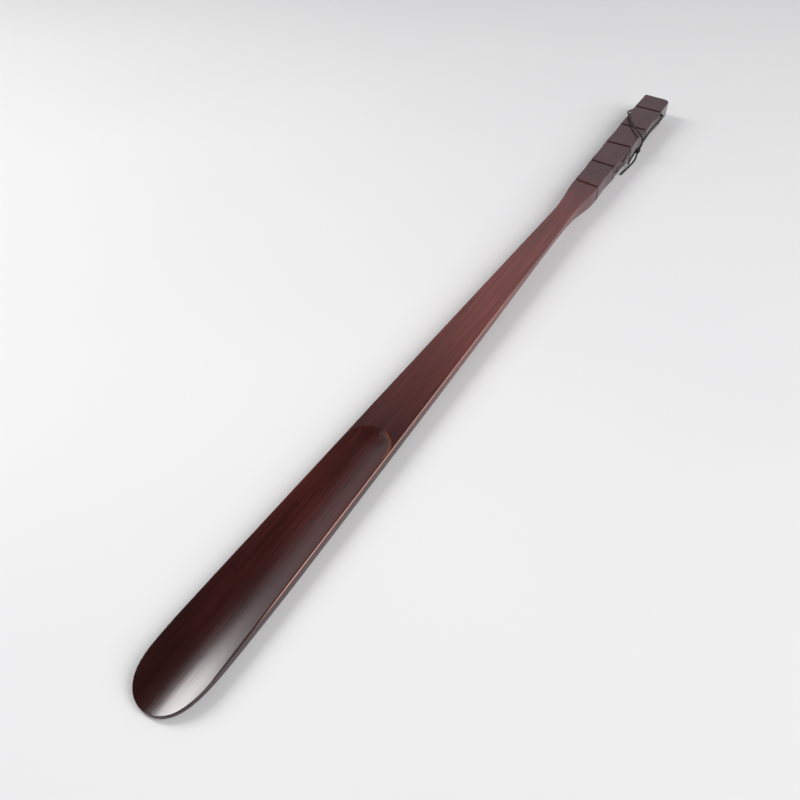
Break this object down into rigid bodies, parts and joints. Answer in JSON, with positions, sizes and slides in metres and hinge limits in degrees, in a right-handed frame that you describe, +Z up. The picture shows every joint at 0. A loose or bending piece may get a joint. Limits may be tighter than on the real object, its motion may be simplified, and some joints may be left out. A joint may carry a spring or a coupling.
{
  "type": "long shoehorn",
  "caption": "Long-handled shoehorn carved from one piece of dark lacquered wood, with a scooped blade, flat tapering shaft, ringed handle and a cord loop for hanging.",
  "frame": {"origin": "on the resting surface, under the middle of the shoehorn's length", "axes": "+Y from the blade's tip to the handle's end, +Z up out of the scoop, +X to the right seen from the tip"},
  "size_m": [0.0392, 0.7, 0.0198],
  "materials": {
    "lacquered_wood": "satin lacquer over dark red-brown stained hardwood",
    "waxed_cord": "dark brown waxed round cord"
  },
  "bodies": {
    "shoehorn": {"carved_wood_body": "lacquered_wood"},
    "cord": {"hanging_cord_loop": "waxed_cord", "cord_knot": "waxed_cord", "long_cord_tail": "waxed_cord", "short_cord_tail": "waxed_cord"}
  },
  "joints": [
    {"name": "loop_swing", "type": "hinge", "parent": "shoehorn", "child": "cord", "pos_m": [0, 0.329, 0.01205], "axis": [-1, 0, 0], "range_deg": [0, 180]}
  ]
}
